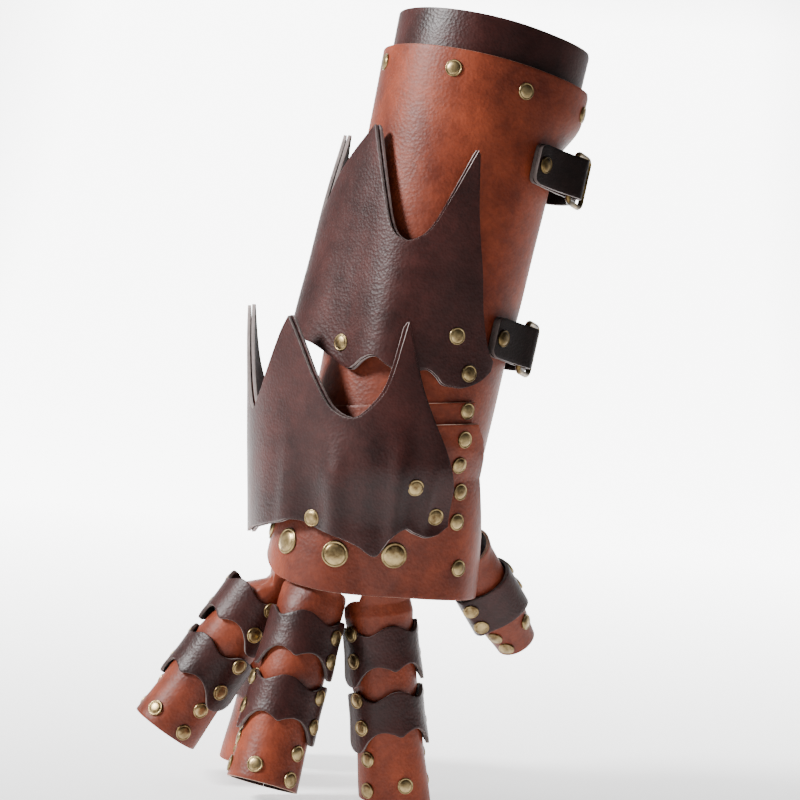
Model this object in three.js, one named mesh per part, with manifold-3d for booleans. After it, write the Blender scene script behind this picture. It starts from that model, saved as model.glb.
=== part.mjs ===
// Armoured leather gauntlet for the right hand, standing on its fingertips, back of the hand to -Y.
// Millimetres, +Z up, +X to the thumb side, origin on the floor under the middle of the bounding box.
import * as THREE from "three";
import { mergeVertices } from "three/addons/utils/BufferGeometryUtils.js";
import Module from "manifold-3d";

const wasm = await Module();
wasm.setup();

// Leather and clearances
const cuffHide = 3.0;
const plateHide = 1.7;
const handHide = 2.6;
const fingerHide = 1.6;
const bandHide = 1.8;
const strapHide = 2.2;
const bandLeather = 2.4;
const gap = 0.35;
const layerGap = 0.6;

// Forearm cuff, a C-shaped wrap that is a little conical
const wristCentre = [0.1, -1.0, 182.0];
const cuffTopCentre = [25.1, 24.2, 364.1];
const cuffWristRadius = 44.5;
const cuffTopRadius = 49.0;
const cuffLength = 185.5;
const cuffBottom = -3.0;
const cuffOpenFrom = 94;
const cuffOpenTo = 125;
const cornerFlare = 8.0;
const bandAboveCuff = 20.0;

// Hand
const handBottomCentre = [-4.0, -6.0, 102.0];
const stripWidth = 16.0;
const knuckleCap = 13.0;
const smallCap = 8.5;
const shank = 2.6;

const thumbTip = [70.5, 37.7, 75.3];
const thumbRoot = [47.2, 16.0, 110.5];

// Fingers, every sleeve an open tube with a slit on the palm side
const fingerRadius = 15.6;
const bandStandoff = 0.5;

const rust = [0.42, 0.115, 0.048];
const dark = [0.075, 0.034, 0.03];
const brass = [0.45, 0.33, 0.16];

const gauntlet = new THREE.Group();
gauntlet.name = "gauntlet";

const lerp = THREE.MathUtils.lerp;
const rad = THREE.MathUtils.degToRad;
const ease = THREE.MathUtils.smoothstep;

function material(colour, roughness, metalness) {
  return new THREE.MeshStandardMaterial({
    color: new THREE.Color(...colour),
    roughness,
    metalness,
  });
}

// Closed solid of manifold-3d from a geometry, by its positions alone.
function solid(geometry) {
  const bare = new THREE.BufferGeometry();
  bare.setAttribute("position", geometry.getAttribute("position"));
  bare.setIndex(geometry.getIndex());
  const merged = mergeVertices(bare, 1e-4);
  return new wasm.Manifold(
    new wasm.Mesh({
      numProp: 3,
      vertProperties: merged.attributes.position.array,
      triVerts: new Uint32Array(merged.index.array),
    }),
  );
}

function geometryOf(made) {
  const mesh = made.getMesh();
  const geometry = new THREE.BufferGeometry();
  geometry.setAttribute("position", new THREE.BufferAttribute(mesh.vertProperties, 3));
  geometry.setIndex(new THREE.BufferAttribute(mesh.triVerts, 1));
  geometry.computeVertexNormals();
  return geometry;
}

// Value of one column of a table at x, on straight lines or on a smooth curve through the rows.
function read(table, column, x, smooth) {
  const last = table.length - 1;
  if (x <= table[0].at) return table[0][column];
  if (x >= table[last].at) return table[last][column];
  let i = 0;
  while (table[i + 1].at < x) i += 1;
  const a = table[i];
  const b = table[i + 1];
  const t = (x - a.at) / (b.at - a.at);
  if (!smooth) return lerp(a[column], b[column], t);
  const before = table[Math.max(i - 1, 0)];
  const after = table[Math.min(i + 2, last)];
  const span = b.at - a.at;
  const slopeA = ((b[column] - before[column]) / (b.at - before.at || 1)) * span;
  const slopeB = ((after[column] - a[column]) / (after.at - a.at || 1)) * span;
  const t2 = t * t;
  const t3 = t2 * t;
  const fromA = (2 * t3 - 3 * t2 + 1) * a[column] + (t3 - 2 * t2 + t) * slopeA;
  return fromA + (3 * t2 - 2 * t3) * b[column] + (t3 - t2) * slopeB;
}

// Rows of [at, ...values] under named columns.
function rows(columns, values) {
  return values.map((row) => Object.fromEntries(columns.map((name, i) => [name, row[i]])));
}

// Frame of a limb: height runs up it, angle turns from the viewer's side to the thumb side.
class Limb {
  constructor(bottom, top, outward) {
    this.bottom = new THREE.Vector3(...bottom);
    this.up = new THREE.Vector3(...top).sub(this.bottom).normalize();
    this.out = new THREE.Vector3(...outward);
    this.out.addScaledVector(this.up, -this.out.dot(this.up)).normalize();
    this.across = new THREE.Vector3().crossVectors(this.up, this.out);
  }
  at(angle, height, radius) {
    const a = rad(angle);
    const point = this.bottom.clone().addScaledVector(this.up, height);
    point.addScaledVector(this.out, radius * Math.cos(a));
    return point.addScaledVector(this.across, radius * Math.sin(a));
  }
  locate(point) {
    const from = point.clone().sub(this.bottom);
    const height = from.dot(this.up);
    const x = from.dot(this.across);
    const y = from.dot(this.out);
    return { angle: THREE.MathUtils.radToDeg(Math.atan2(x, y)), height, radius: Math.hypot(x, y) };
  }
}

// A flat blank of leather bent onto a surface: place(u, v, w) gives the point, w 0 inside, 1 outside.
// A lining is turned over, so that its facets lie parallel to those of the piece it lines.
function blank(columns, rowsUp, place, turned) {
  const geometry = new THREE.BoxGeometry(1, 1, 1, columns, rowsUp, 1);
  const position = geometry.getAttribute("position");
  for (let i = 0; i < position.count; i += 1) {
    const u = position.getX(i) + 0.5;
    const v = position.getY(i) + 0.5;
    const w = turned ? 0.5 - position.getZ(i) : position.getZ(i) + 0.5;
    const p = place(u, v, w);
    position.setXYZ(i, p.x, p.y, p.z);
  }
  if (turned) geometry.index.array.reverse();
  return solid(geometry);
}

const parts = new Map();

function leather(name, made, colour, roughness) {
  parts.set(name, { made, look: material(colour, roughness, 0) });
}

// Rivet: domed cap outside, shank through the hides, small cap inside. Holes are cut as it is set.
function rivet(name, seat, outward, cap, depth, through) {
  const r = cap / 2;
  const under = gap + 0.1;
  const crown = cap * 0.19;
  const backCap = Math.min(r * 0.62, 2.7);
  const back = -depth - gap;
  const profile = [
    [0, back - 0.9],
    [backCap, back],
    [shank / 2, back],
    [shank / 2, under],
    [r, under],
    [r * 0.8, under + crown * 0.72],
    [0, under + crown],
  ];
  const points = profile.map(([x, y]) => new THREE.Vector2(x, y));
  const turn = new THREE.Quaternion().setFromUnitVectors(
    new THREE.Vector3(0, 1, 0),
    outward.clone().normalize(),
  );
  const pose = new THREE.Matrix4().compose(seat, turn, new THREE.Vector3(1, 1, 1));
  const head = new THREE.LatheGeometry(points, 8).applyMatrix4(pose);
  const drill = new THREE.CylinderGeometry(shank / 2 + gap, shank / 2 + gap, depth + 6, 6);
  drill.translate(0, -depth / 2, 0);
  drill.applyMatrix4(pose);
  for (const part of through) {
    const piece = parts.get(part);
    piece.made = piece.made.subtract(solid(drill));
  }
  parts.set(name, { made: solid(head), look: material(brass, 0.35, 1) });
}

const forearm = new Limb(wristCentre, cuffTopCentre, [0, -1, 0]);

function cuffRadius(angle, height) {
  const cone = lerp(cuffWristRadius, cuffTopRadius, height / cuffLength);
  const towardsEdge = ease(angle, 35, cuffOpenFrom);
  const towardsTop = ease(height, cuffLength - 33.5, cuffLength - 3.5);
  return cone + cornerFlare * towardsEdge * towardsTop;
}

// Ends of the wrap: square at the hidden side, corners rounded off at the closing edge.
function wrap(name, heights, corner, inset, hide, colour) {
  const steps = heights.length - 1;
  const made = blank(24, steps, (u, v, w) => {
    const height = heights[Math.round(v * steps)];
    const fromEnd = Math.min(heights[steps] - height, height - heights[0]);
    const into = Math.max(0, corner - fromEnd) / corner;
    const cut = 1 - Math.sqrt(1 - into * into);
    const angle = lerp(cuffOpenTo - 360, cuffOpenFrom - 12 * cut, u);
    return forearm.at(angle, height, cuffRadius(angle, height) - inset + hide * (w - 1));
  });
  leather(name, made, colour, 0.5);
}

const rim = [33.5, 25.5, 17.5, 9.5, 3.5, 0].map((below) => cuffLength - below);
const belowRim = [0.02, 0.07, 0.25, 0.45, 0.63].map((share) => share * rim[0]);
wrap("forearm_cuff", [cuffBottom, ...belowRim, ...rim], 14, 0, cuffHide, rust);
const bandInset = cuffHide + 1.3;
const bandTop = cuffLength + bandAboveCuff;
wrap("cuff_top_band", [...rim, bandTop - 10, bandTop - 3, bandTop], 10, bandInset, bandLeather, dark);

// Upper spiked plate: angle round the forearm, height of both edges, lift off the cuff low and high.
const upperPlate = rows(
  ["at", "top", "bottom", "lowLift", "highLift"],
  [
    [-132, 78, 52, 3, 6],
    [-121, 92, 42, 7, 8],
    [-111, 113, 38, 12, 10],
    [-101, 141, 37, 15, 12],
    [-95, 117, 37, 17, 11],
    [-89, 98, 38, 17, 10],
    [-82, 103, 36, 15, 9],
    [-74, 117, 33, 12, 8],
    [-65, 128, 31, 8, 7],
    [-51, 142, 26, 3, 6],
    [-38, 118, 22, 3, 7],
    [-27, 100, 28, 7, 8],
    [-21, 92, 30, 9, 8],
    [-14, 89, 27, 8, 8],
    [-6, 96, 25, 6, 8],
    [0, 111, 26, 5, 8],
    [8, 137, 29, 4, 8],
    [14, 113, 27, 3, 7],
    [19, 98, 24, 3, 6],
    [26, 81, 24, 2, 4],
    [33, 62, 25, 2, 3],
    [42, 46, 30, 3, 3],
    [48, 41, 36, 3, 3],
  ],
);
function platePoint(limb, table, radiusAt, inset, hide) {
  const first = table[0].at;
  const last = table[table.length - 1].at;
  return (u, v, w) => {
    const angle = lerp(first, last, u);
    const height = lerp(read(table, "bottom", angle), read(table, "top", angle), v);
    return limb.at(angle, height, radiusAt(angle, height) - inset + hide * w);
  };
}

function upperSeat(angle, height) {
  const low = read(upperPlate, "lowLift", angle, true);
  const high = read(upperPlate, "highLift", angle, true);
  const lift = Math.max(0, lerp(low, high, (height - 30) / 100));
  return cuffRadius(angle, height) + plateHide + layerGap + gap + Math.max(0, lift - 2);
}

// Stations across a plate fall on the rows of its table, so every spike keeps its point.
function spiked(name, limb, table, radiusAt, inset, hide, rowsUp, colour) {
  const place = platePoint(limb, table, radiusAt, inset, hide);
  const first = table[0].at;
  const span = table[table.length - 1].at - first;
  const steps = table.length - 1;
  const station = (u) => (table[Math.round(u * steps)].at - first) / span;
  const made = blank(steps, rowsUp, (u, v, w) => place(station(u), v, w), inset > 0);
  leather(name, made, colour, 0.42);
}

spiked("upper_plate_outer", forearm, upperPlate, upperSeat, 0, plateHide, 5, dark);
spiked("upper_plate_lining", forearm, upperPlate, upperSeat, plateHide + layerGap, plateHide, 5, dark);

// Lower spiked plate over the wrist and the back of the hand, wider than the cuff.
const lowerAxis = new Limb([-5.8, 7.3, 130.0], [-14.7, 18.4, 230.1], [0, -1, 0]);
const lowerRadius = 63.0;
const lowerPlate = rows(
  ["at", "top", "bottom", "lowLift", "highLift"],
  [
    [-116, 62, 14, -4, -2],
    [-108, 74, 8, -2, -1],
    [-100, 88, 3, 0, 0],
    [-91, 114, 0, 1, 1],
    [-82, 78, 0, 1, 1],
    [-73, 61, 2, 1, 0],
    [-64, 68, 3, 1, 0],
    [-56, 80, 4, 1, 0],
    [-46, 98, 5, 1, 0],
    [-41, 105, 6, 0.5, 0],
    [-34, 93, 5, -0.6, 1],
    [-26, 76, 1, -0.6, 3],
    [-18, 61, -2, 0, 5],
    [-8, 54, -7, 1, 7],
    [0, 64, -12, 1, 8],
    [6, 78, -4, 0.6, 9],
    [13, 100, 1, 0, 9.6],
    [17, 73, -1, 0, 9.8],
    [22, 54, -3, 0.6, 10],
    [27, 39, -2, 1.4, 10.2],
    [32, 20, 2, 2, 10.4],
  ],
);

// Hand: the section turns from the round wrist into the arched row of knuckles.
const hand = new Limb(handBottomCentre, wristCentre, [0, -1, 0]);
const handLength = hand.bottom.distanceTo(new THREE.Vector3(...wristCentre));

// Inside of the back of the hand at the knuckles: angle from the viewer to the thumb side, radius.
const knuckleSection = rows(
  ["at", "radius"],
  [
    [-180, 32],
    [-150, 39],
    [-127, 49],
    [-106, 54],
    [-85, 54],
    [-60, 53],
    [-33, 48],
    [-10, 39],
    [14, 36],
    [38, 41],
    [58, 46],
    [75, 47.5],
    [90, 47.5],
    [110, 46],
    [135, 40],
    [158, 34],
    [180, 32],
  ],
);

const stripHide = 1.8;

// Moves out along a ray of a limb's frame until nothing covered lies under the point.
function outside(limb, angle, height, radius, covers) {
  let r = radius;
  while (r < radius + 40 && covers(limb.at(angle, height, r))) r += 0.1;
  return r;
}

function cuffCovers(clearance) {
  return (point) => {
    const p = forearm.locate(point);
    const fade = 0.2 * Math.max(0, -5 - p.height);
    return p.radius < cuffRadius(p.angle, Math.max(p.height, 0)) + clearance - fade;
  };
}

function knuckleInner(angle, height) {
  const turn = angle > 180 ? angle - 360 : angle;
  const low = read(knuckleSection, "radius", turn, true);
  return lerp(low, cuffWristRadius, ease(height, 0, handLength));
}

const overStrip = cuffCovers(stripHide + 2 * gap + 0.6);
function handInner(angle, height) {
  return outside(hand, angle, height, knuckleInner(angle, height), overStrip);
}

// Edges of the strip and of the plate rise to the thumb side.
function tilt(angle) {
  return 7.6 * Math.sin(rad(angle)) + 3.0;
}

const stripTop = handLength + 10.5;
const stripSeat = (angle, height) => handInner(angle, height) - gap - stripHide - 0.35;
leather(
  "wrist_strip",
  blank(18, 3, (u, v, w) => {
    const angle = lerp(-104, 49, u);
    const height = stripTop - stripWidth * (1 - v) + tilt(angle);
    return hand.at(angle, height, stripSeat(angle, height) + stripHide * w);
  }),
  rust,
  0.5,
);

const handSides = rows(
  ["at", "left", "right"],
  [
    [0, -112, 88],
    [0.35, -110, 82],
    [0.7, -106, 66],
    [0.9, -103, 58],
    [1, -101, 50],
  ],
);
const handEdge = rows(
  ["at", "bottom"],
  [
    [-112, 16],
    [-85, 10],
    [-60, 2],
    [-33, -1],
    [-10, -1],
    [14, 0],
    [38, 1],
    [60, 2],
    [88, 3],
  ],
);
const handPlateTop = handLength;
leather(
  "hand_plate",
  blank(22, 8, (u, v, w) => {
    const angle = lerp(read(handSides, "left", v), read(handSides, "right", v), u);
    const low = read(handEdge, "bottom", angle, true);
    const height = lerp(low, handPlateTop + tilt(angle), v);
    return hand.at(angle, height, handInner(angle, height) + handHide * w);
  }),
  rust,
  0.5,
);

// The palm side runs in under the little finger's edge of the back and stops short of the thumb.
const palmTop = handLength - 15;
const palmFrom = 142;
leather(
  "palm_panel",
  blank(16, 4, (u, v, w) => {
    const height = lerp(12, palmTop, v);
    const to = 360 + read(handSides, "left", height / handPlateTop) + 8;
    const angle = lerp(palmFrom, to, u);
    return hand.at(angle, height, handInner(angle, height) - gap - 0.9 - handHide * (1 - w));
  }),
  rust,
  0.6,
);

function lowerSeat(angle, height) {
  const low = read(lowerPlate, "lowLift", angle, true);
  const high = read(lowerPlate, "highLift", angle, true);
  return lowerRadius + lerp(low, high, ease(height, 0, 32));
}

spiked("lower_plate_outer", lowerAxis, lowerPlate, lowerSeat, 0, plateHide, 6, dark);
spiked("lower_plate_lining", lowerAxis, lowerPlate, lowerSeat, plateHide + layerGap, plateHide, 6, dark);

// Fingers: tip is the middle of the end, cut shortens it, root is the knuckle,
// and facing is the way its back looks.
const fingers = {
  index: {
    tip: [14.6, -21.6, 0],
    root: [-3.1, -20.6, 102.6],
    facing: 20,
    dome: 1,
    under: 0,
    cut: 0,
    flat: true,
    rivet: { at: 9, height: 20.6 },
  },
  middle: {
    tip: [-51.1, -55.1, 5.6],
    root: [-33.8, -28.8, 100.1],
    facing: -3,
    dome: 0.3,
    under: 0,
    cut: 3.5,
    flat: false,
    rivet: { at: -27, height: 17.5 },
  },
  ring: {
    tip: [-105.0, -16.6, 20],
    root: [-56.8, -6.7, 100.9],
    facing: -35,
    dome: 0.3,
    under: 0,
    cut: 5,
    flat: false,
    rivet: { at: -58, height: 19.6 },
  },
  little: {
    tip: [-60.0, 46.0, 0],
    root: [-44.0, 28.0, 97.0],
    facing: -75,
    dome: 0.3,
    under: 6.6,
    cut: 0,
    flat: true,
    rivet: { at: -90, height: 24 },
  },
};

// Lower and upper edge of a band round half its width, as the angle runs from the finger's back.
const bandEdge = rows(
  ["at", "top", "bottom"],
  [
    [-118, 8, -10],
    [-95, 10, -15],
    [-72, 10, -17],
    [-52, 9, -12],
    [-30, 9, -10],
    [0, 13, -11],
    [30, 9, -10],
    [52, 9, -12],
    [72, 10, -17],
    [95, 10, -15],
    [118, 8, -10],
  ],
);
const bandHeights = [77, 44.5];

// Outside of the knuckle sleeve: slim inside the tip, full under its band, domed over the knuckle.
const bandBulge = 1.6;
const sleeveHeights = rows(
  ["at", "radius"],
  [
    [38, 0],
    [48, 0],
    [57, bandBulge],
    [84, bandBulge],
    [89, 2.1],
    [94, 2.6],
    [101, 1.6],
    [121, -2],
  ],
);
const sleeveRadius = fingerRadius + 0.9 - fingerHide - gap;

function sleeve(name, limb, facing, heights, radiusAt, hide, columns, colour, reach, settle) {
  const steps = heights.length - 1;
  const made = blank(columns, steps, (u, v, w) => {
    const angle = lerp(-reach, reach, u);
    const row = Math.round(v * steps);
    const height = heights[row](angle);
    const point = limb.at(facing + angle, height, radiusAt(height) - hide * (1 - w));
    return settle ? settle(point, hide * (1 - w), row, angle) : point;
  });
  leather(name, made, colour, 0.5);
}

// Cuts the end of a tip level, so that it stands flat on the floor.
function standing(limb) {
  return (point, depth, row) => (row === 0 ? point.addScaledVector(limb.up, -point.z / limb.up.z) : point);
}

// Keeps a knuckle under the back of the hand and brings its tongue to the knuckle rivet.
const tongueRow = 7;
const tongueReach = 50;
function knuckled(finger) {
  return (point, depth, row, angle) => {
    const share = Math.abs(angle) / tongueReach;
    if (row === tongueRow && share < 1) {
      const turn = finger.rivet.at + angle * 0.19;
      const height = finger.rivet.height + 8 - 5 * share * share;
      return hand.at(turn, height, handInner(turn, height) - gap - 0.6 - depth);
    }
    const p = hand.locate(point);
    if (p.height < -8) return point;
    const limit = handInner(p.angle, p.height) - gap - 0.6 - depth - finger.under;
    if (p.radius <= limit) return point;
    return hand.at(p.angle, p.height, lerp(p.radius, limit, ease(p.height, -8, -2)));
  };
}

for (const [name, finger] of Object.entries(fingers)) {
  const limb = new Limb(finger.tip, finger.root, [0, -1, 0]);
  const tipRadius = (h) => fingerRadius + lerp(1.2, 0, ease(h, 0, 30)) + 0.9;
  sleeve(
    name + "_tip",
    limb,
    finger.facing,
    [() => finger.cut, () => 22, () => 46],
    tipRadius,
    fingerHide,
    14,
    rust,
    168,
    finger.flat ? standing(limb) : undefined,
  );
  const dome = (h) => {
    const bulge = read(sleeveHeights, "radius", h);
    return h > 84 ? Math.min(bulge, lerp(bandBulge, bulge, finger.dome)) : bulge;
  };
  sleeve(
    name + "_sleeve",
    limb,
    finger.facing,
    [
      () => 38,
      () => 48,
      () => 57,
      () => 84,
      () => 89,
      () => 94,
      (a) => 100 - 5 * ease(Math.abs(a), 60, 120),
      (a) => 102 - 5 * ease(Math.abs(a), 60, 120),
    ],
    (h) => sleeveRadius + dome(h),
    fingerHide,
    14,
    rust,
    160,
    knuckled(finger),
  );
  bandHeights.forEach((middle, i) => {
    const inner = fingerRadius + 0.9 + bandStandoff;
    sleeve(
      name + "_band_" + (i + 1),
      limb,
      finger.facing,
      [(a) => middle + read(bandEdge, "bottom", a), (a) => middle + read(bandEdge, "top", a)],
      (h) => inner + bandHide + 0.8 * ease(middle - h, 0, 16),
      bandHide,
      12,
      dark,
      118,
    );
  });
}

// Thumb: a sleeve that stands up behind the edge of the hand, a band and an open tip.
const thumb = new Limb(thumbTip, thumbRoot, [0, -1, 0]);
const thumbRadius = 13.6;
const thumbTipLength = 32;
const loopRadius = thumbRadius - 0.4;
sleeve(
  "thumb_tip",
  thumb,
  0,
  [() => 0, () => 14, () => thumbTipLength],
  (h) => lerp(10.3, thumbRadius, ease(h, -6, 28)),
  fingerHide,
  14,
  rust,
  168,
);
sleeve(
  "thumb_loop",
  thumb,
  0,
  [() => thumbTipLength + 1, () => 58, (a) => 66 - 2 * Math.cos(rad(a))],
  (h) => loopRadius + 1.2 * ease(h, 58, 66),
  fingerHide,
  14,
  rust,
  160,
);

// The loop's tongue runs forward under the edge of the back of the hand to the last side rivet.
const tongueHeight = 17.8;
const tongueRoot = thumb.at(-11, 58, loopRadius - fingerHide / 2);
const tongueSeat = (turn, height, depth) =>
  hand.at(turn, height, handInner(turn, height) - gap - 0.35 - depth);
const tongueBend = tongueSeat(74, tongueHeight, fingerHide / 2);
const tongue = blank(6, 1, (u, v, w) => {
  const along = Math.max(0, 1.5 * u - 0.5);
  const back = Math.max(0, 1 - 3 * u);
  const height = tongueHeight + lerp(15, 8, back) * (0.5 - v);
  const point = tongueSeat(lerp(74, 46, along), height, fingerHide * (1 - w));
  return point.addScaledVector(tongueRoot, back).addScaledVector(tongueBend, -back);
});
parts.get("thumb_loop").made = parts.get("thumb_loop").made.add(tongue);

sleeve(
  "thumb_band",
  thumb,
  0,
  [(a) => 19 + 4 * Math.cos(rad(a)), () => 45],
  () => thumbRadius + bandHide + gap + 0.2,
  bandHide,
  14,
  dark,
  150,
);

// Closures: a tab riveted to the edge of the cuff, a frame hooked in its fold, a billet from the far edge.
const tabPath = rows(
  ["at", "lift"],
  [
    [46, 0],
    [51, 0],
    [56, 0.4],
    [64, 3.4],
    [70, 7.6],
    [74.2, 12.0],
    [76.8, 14.6],
    [79.4, 13.2],
    [79.2, 10.0],
    [75.7, 6.4],
  ],
);
const billetPath = rows(
  ["at", "lift"],
  [
    [82.5, 9.5],
    [88, 10.8],
    [94, 11.4],
    [101, 11.2],
    [111, 8.8],
    [122, 3.6],
    [132, 0.4],
    [140, 0],
    [147, 0],
  ],
);
const strapWidth = 22.0;
const frameWidth = 29.0;
const frameWindow = 23.4;
const frameLength = 19.0;
const frameThick = 2.0;

// A strap that follows a path round the forearm, its inner face on the path.
function strap(name, path, height, reach, columns) {
  const flat = path.map((row) => {
    const radius = cuffRadius(0, height) + 0.8 + row.lift * reach;
    return new THREE.Vector3(radius * Math.sin(rad(row.at)), radius * Math.cos(rad(row.at)), 0);
  });
  const curve = new THREE.CatmullRomCurve3(flat, false, "centripetal");
  const made = blank(columns, 1, (u, v, w) => {
    const spot = curve.getPointAt(u);
    const along = curve.getTangentAt(u);
    const point = forearm.bottom.clone().addScaledVector(forearm.up, height + strapWidth * (v - 0.5));
    point.addScaledVector(forearm.across, spot.x - along.y * strapHide * w);
    return point.addScaledVector(forearm.out, spot.y + along.x * strapHide * w);
  });
  leather(name, made, dark, 0.45);
}

// Brass frame: a rectangular ring whose near bar lies in the fold of the tab.
function buckleFrame(name, height, reach) {
  const ring = new THREE.Shape();
  const half = frameWidth / 2;
  ring.moveTo(0, -half);
  ring.lineTo(frameLength - 3, -half);
  ring.lineTo(frameLength, -half + 3);
  ring.lineTo(frameLength, half - 3);
  ring.lineTo(frameLength - 3, half);
  ring.lineTo(0, half);
  const hole = new THREE.Path();
  const inside = frameWindow / 2;
  hole.moveTo(frameThick, -inside);
  hole.lineTo(frameThick, inside);
  hole.lineTo(frameLength - frameThick, inside);
  hole.lineTo(frameLength - frameThick, -inside);
  ring.holes.push(hole);
  const geometry = new THREE.ExtrudeGeometry(ring, { depth: frameThick, bevelEnabled: false });
  geometry.translate(-frameThick / 2, 0, -frameThick / 2);
  const radius = cuffRadius(0, height);
  const near = forearm.at(77, height, radius + 11.4 * reach);
  const far = forearm.at(94, height, radius + 18.6 * reach);
  const along = far.clone().sub(near).normalize();
  const normal = new THREE.Vector3().crossVectors(along, forearm.up);
  const pose = new THREE.Matrix4().makeBasis(along, forearm.up, normal).setPosition(near);
  parts.set(name, { made: solid(geometry.applyMatrix4(pose)), look: material(brass, 0.35, 1) });
}

const closures = [
  { name: "upper", height: 143, reach: 1.0 },
  { name: "lower", height: 55, reach: 0.66 },
];
for (const closure of closures) {
  strap(closure.name + "_tab", tabPath, closure.height, closure.reach, 18);
  strap(closure.name + "_billet", billetPath, closure.height, closure.reach, 16);
  buckleFrame(closure.name + "_buckle", closure.height, closure.reach);
}

// Main rivets: each stands square on the face under its cap and goes in until it is clear inside.
function setRivet(name, limb, angle, height, radiusAt, cap, clear, through) {
  const at = (a, h) => limb.at(a, h, radiusAt(a, h));
  const seat = at(angle, height);
  const round = at(angle + 2, height).sub(at(angle - 2, height));
  const along = at(angle, height + 2).sub(at(angle, height - 2));
  const outward = new THREE.Vector3().crossVectors(round, along).normalize();
  let depth = 0;
  while (depth < 24 && !clear(seat.clone().addScaledVector(outward, -depth))) depth += 0.1;
  rivet(name, seat, outward, cap, depth + 0.45, through);
}

function inside(limb, radiusAt, less) {
  return (point) => {
    const p = limb.locate(point);
    return p.radius < radiusAt(p.angle, p.height) - less;
  };
}
const insideCuff = inside(forearm, cuffRadius, cuffHide);
const insideBand = inside(forearm, cuffRadius, bandInset + bandLeather);
const insideHand = inside(hand, handInner, 0);
const insideTongue = inside(hand, handInner, gap + 0.6 + fingerHide + 1.7);

const cuffRow = rows(
  ["at", "below"],
  [
    [-73, 8.2],
    [-15, 10],
    [30, 12.3],
    [82, 11],
  ],
);
cuffRow.forEach((row, i) => {
  const height = cuffLength - row.below;
  const through = ["forearm_cuff", "cuff_top_band"];
  setRivet("rivet_cuff_" + (i + 1), forearm, row.at, height, cuffRadius, smallCap, insideBand, through);
});

const upperRow = rows(
  ["at", "height"],
  [
    [-46, 33.6],
    [20, 48],
    [33, 32],
  ],
);
const upperFace = (angle, height) => upperSeat(angle, height) + plateHide;
upperRow.forEach((row, i) => {
  const through = ["upper_plate_outer", "upper_plate_lining", "forearm_cuff"];
  setRivet("rivet_upper_" + (i + 1), forearm, row.at, row.height, upperFace, smallCap, insideCuff, through);
});

const handFace = (angle, height) => handInner(angle, height) + handHide;
const sideRow = rows(
  ["at", "height"],
  [
    [43, 94.6],
    [41, 80.7],
    [41, 68.0],
    [47, 55.1],
    [48, 40.3],
    [54, 17.8],
  ],
);
const stripFace = (angle, height) => stripSeat(angle, height) + stripHide;
sideRow.forEach((row, i) => {
  const name = "rivet_side_" + (i + 1);
  const onStrip = i === 0;
  const onThumb = i === sideRow.length - 1;
  const clear = i < 2 ? insideCuff : onThumb ? insideTongue : insideHand;
  const through = [onStrip ? "wrist_strip" : "hand_plate"];
  if (i < 2) through.push("forearm_cuff");
  if (onThumb) through.push("thumb_loop");
  setRivet(name, hand, row.at, row.height, onStrip ? stripFace : handFace, smallCap, clear, through);
});

for (const [name, finger] of Object.entries(fingers)) {
  const through = ["hand_plate", name + "_sleeve"];
  const { at, height } = finger.rivet;
  setRivet("rivet_knuckle_" + name, hand, at, height, handFace, knuckleCap, insideTongue, through);
}

const lowerRow = rows(
  ["at", "height"],
  [
    [-29, 6.3],
    [16, 20.8],
    [26, 6.8],
  ],
);
const lowerFace = (angle, height) => lowerSeat(angle, height) + plateHide;
lowerRow.forEach((row, i) => {
  const through = ["lower_plate_outer", "lower_plate_lining", "hand_plate"];
  const name = "rivet_lower_" + (i + 1);
  setRivet(name, lowerAxis, row.at, row.height, lowerFace, smallCap, insideHand, through);
});

for (const closure of closures) {
  const angle = 52;
  const face = (a, h) => cuffRadius(0, h) + 0.8 + strapHide;
  const through = [closure.name + "_tab", "forearm_cuff"];
  const name = "rivet_" + closure.name + "_tab";
  setRivet(name, forearm, angle, closure.height, face, smallCap, insideCuff, through);
}

for (const [name, piece] of parts) {
  const mesh = new THREE.Mesh(geometryOf(piece.made), piece.look);
  mesh.name = name;
  gauntlet.add(mesh);
}

// The floor stays at the fingertips, and the middle of the bounding box comes over the origin.
const box = new THREE.Box3().setFromObject(gauntlet, true);
const middle = box.getCenter(new THREE.Vector3());
gauntlet.position.set(-middle.x, -middle.y, -box.min.z);

export default gauntlet;
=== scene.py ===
import math

import bmesh
import bpy
from mathutils import Matrix, Vector, noise


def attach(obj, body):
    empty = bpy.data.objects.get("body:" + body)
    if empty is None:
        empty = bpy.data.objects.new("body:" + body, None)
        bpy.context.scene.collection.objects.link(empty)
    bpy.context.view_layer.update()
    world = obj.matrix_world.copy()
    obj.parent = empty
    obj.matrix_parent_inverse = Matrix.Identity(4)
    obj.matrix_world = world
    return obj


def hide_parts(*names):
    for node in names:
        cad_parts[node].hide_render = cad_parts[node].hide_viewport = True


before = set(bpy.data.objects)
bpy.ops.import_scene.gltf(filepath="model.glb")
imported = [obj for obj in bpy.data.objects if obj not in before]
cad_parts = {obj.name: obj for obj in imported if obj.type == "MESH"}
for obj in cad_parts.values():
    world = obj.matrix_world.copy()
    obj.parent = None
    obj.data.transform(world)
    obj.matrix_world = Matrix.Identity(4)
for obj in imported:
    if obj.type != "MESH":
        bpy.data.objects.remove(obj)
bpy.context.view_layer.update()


# Forearm cuff: one C-shaped piece of 3 mm rust-brown armour leather, wet-formed to the forearm.
# Its long edges stand a little apart on the thumb's side, where two straps close it.
# Sizes are in millimetres about the fingertips' floor and are brought into the shared frame last.
FRAME_SHIFT = Vector((15.31, -0.763, 0.0))
WRIST = (0.1, -1.0, 182.0)
CUFF_TOP = (25.1, 24.2, 364.1)
CUFF_HIDE = 3.0
CUFF_LENGTH = 185.5
CUFF_BOTTOM = -3.0
CUFF_OPEN_FROM = 94.0
CUFF_OPEN_TO = 125.0
WRIST_RADIUS = 44.5
TOP_RADIUS = 49.0
FLARE = 8.0
FLARE_FROM = 148
FLARE_TO = 171


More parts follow.
